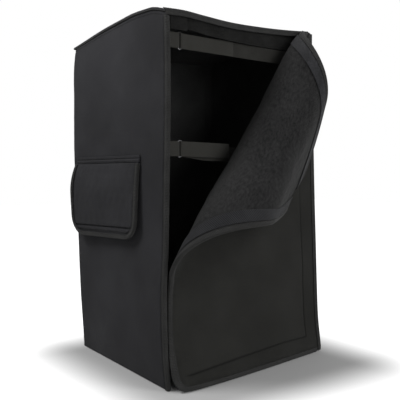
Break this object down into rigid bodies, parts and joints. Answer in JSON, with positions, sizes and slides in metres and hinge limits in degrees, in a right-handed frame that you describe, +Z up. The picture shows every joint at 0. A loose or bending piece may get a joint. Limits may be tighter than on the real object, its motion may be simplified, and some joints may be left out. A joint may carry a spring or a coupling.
{
  "type": "padded loudspeaker cover",
  "caption": "Padded slip cover for a loudspeaker cabinet, standing empty, its front flap peeled open and rolled over to one side.",
  "frame": {"origin": "middle of the bounding box in X and Y, on the surface under the hem", "axes": "+Z up, front with the open flap towards -Y, side with the handle flap towards -X"},
  "size_m": [0.4228, 0.4682, 0.6625],
  "materials": {
    "cloth": "matte",
    "binding": "ribbed",
    "fastening": "brushed",
    "webbing": "ribbed",
    "metal": "polished"
  },
  "bodies": {
    "root": {"left_side": "cloth", "right_side": "cloth", "back": "cloth", "top": "cloth", "front_flap": "cloth", "front_flap_binding": "binding", "left_side_binding": "binding", "top_binding": "binding", "right_seam_binding": "binding", "top_fastening_band": "fastening", "flap_side_tape": "fastening", "flap_top_tape": "fastening", "handle_flap": "cloth", "handle_flap_binding": "binding", "handle_flap_header": "cloth", "upper_strap": "webbing", "lower_strap": "webbing", "upper_tab": "webbing", "lower_tab": "webbing", "upper_slider": "metal", "lower_slider": "metal"}
  },
  "joints": []
}
